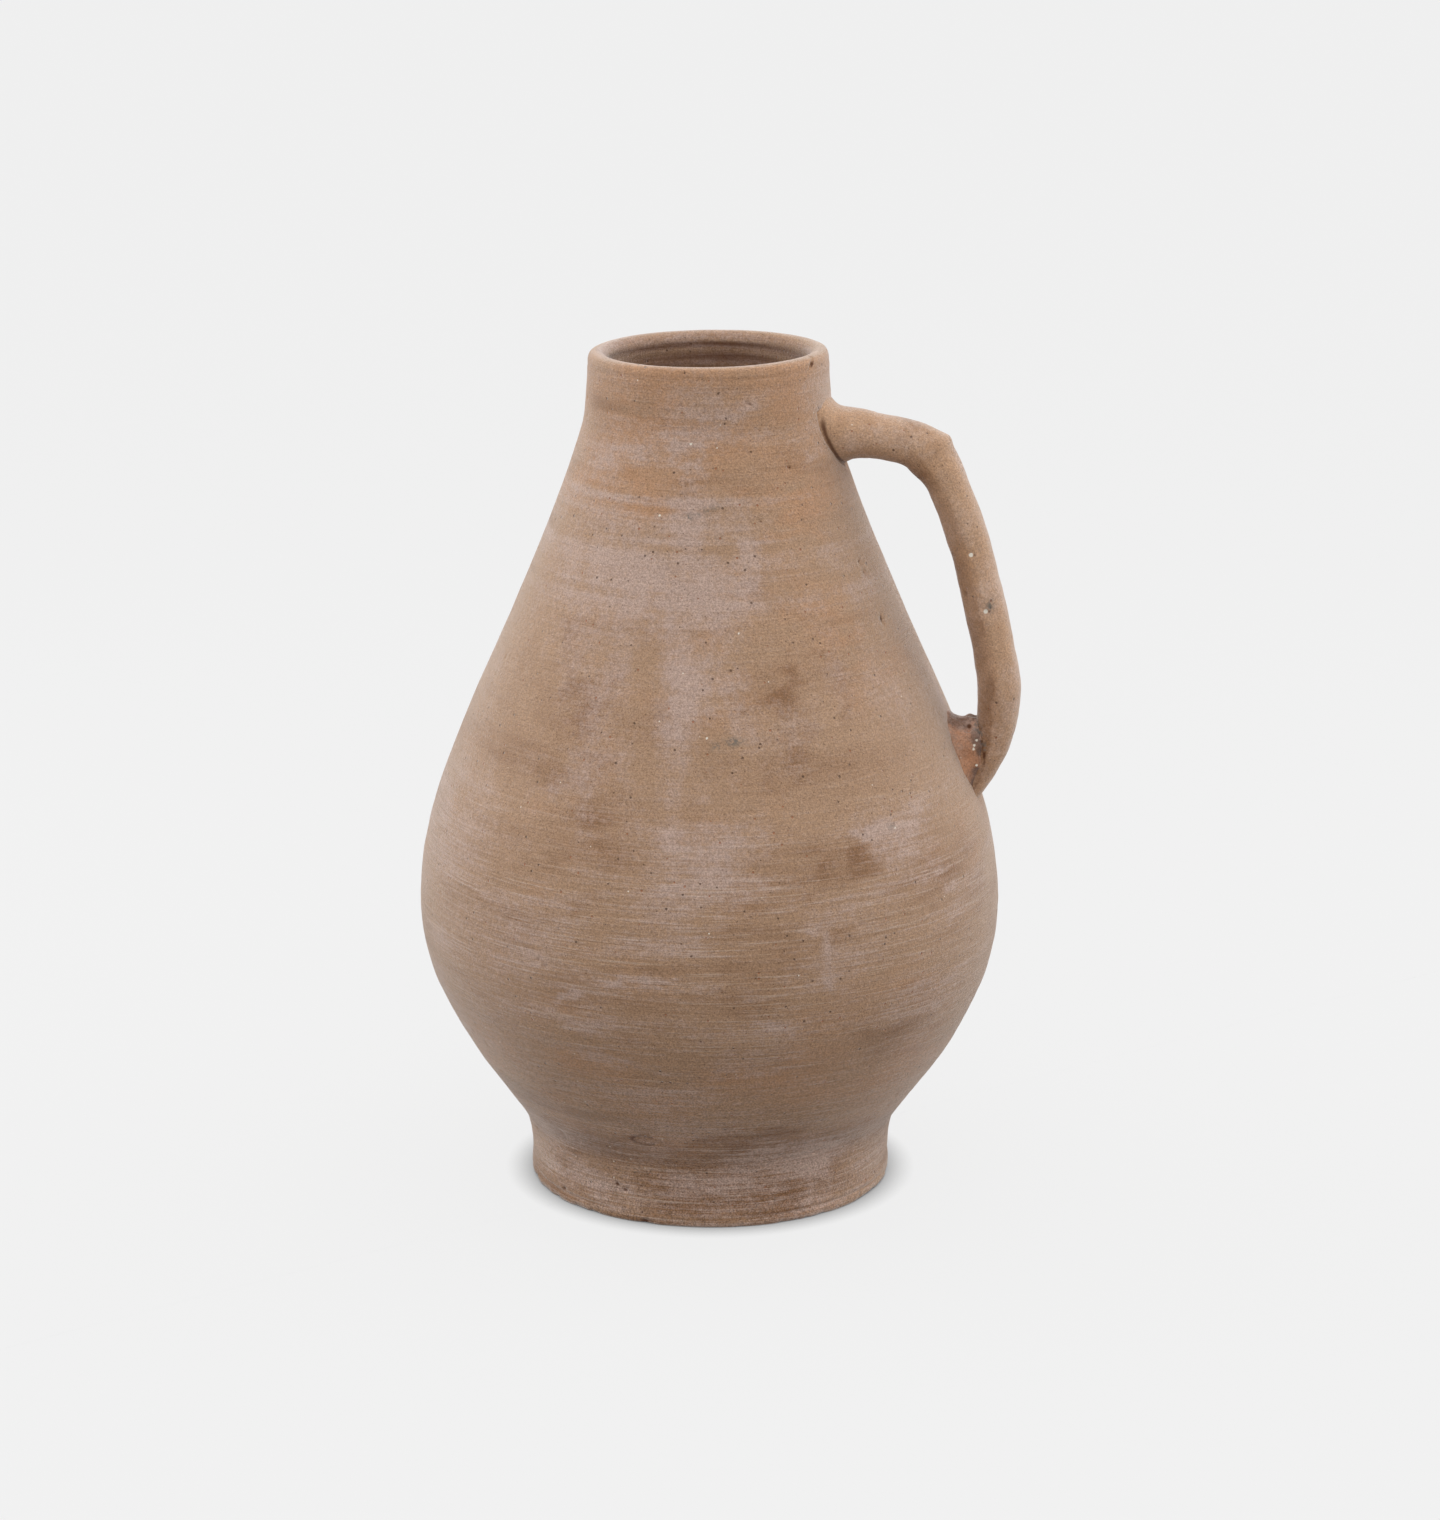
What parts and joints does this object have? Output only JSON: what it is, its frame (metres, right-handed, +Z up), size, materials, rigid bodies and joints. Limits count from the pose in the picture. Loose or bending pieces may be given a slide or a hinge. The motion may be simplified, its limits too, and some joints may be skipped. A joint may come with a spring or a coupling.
{
  "type": "ceramic pitcher",
  "caption": "Unglazed terracotta pitcher with a pear-shaped belly, straight neck, rolled lip, ring foot and a single angular strap handle.",
  "frame": {"origin": "On the vessel's axis, in the plane the foot ring stands on.", "axes": "+Z is up along the vessel's axis and out of the mouth. +X points to the handle. Y runs across the handle."},
  "size_m": [0.2689, 0.2616, 0.38],
  "materials": {
    "body_clay": "matte unglazed terracotta with pale bloom and turning marks",
    "handle_clay": "matte unglazed terracotta, smoothed by hand",
    "wad_clay": "matte unglazed terracotta, rough and pressed on by hand"
  },
  "bodies": {
    "root": {"foot_ring": "body_clay", "lower_body": "body_clay", "upper_body": "body_clay", "neck": "body_clay", "handle": "handle_clay", "handle_top_wad": "handle_clay", "handle_bottom_wad": "wad_clay"}
  },
  "joints": []
}
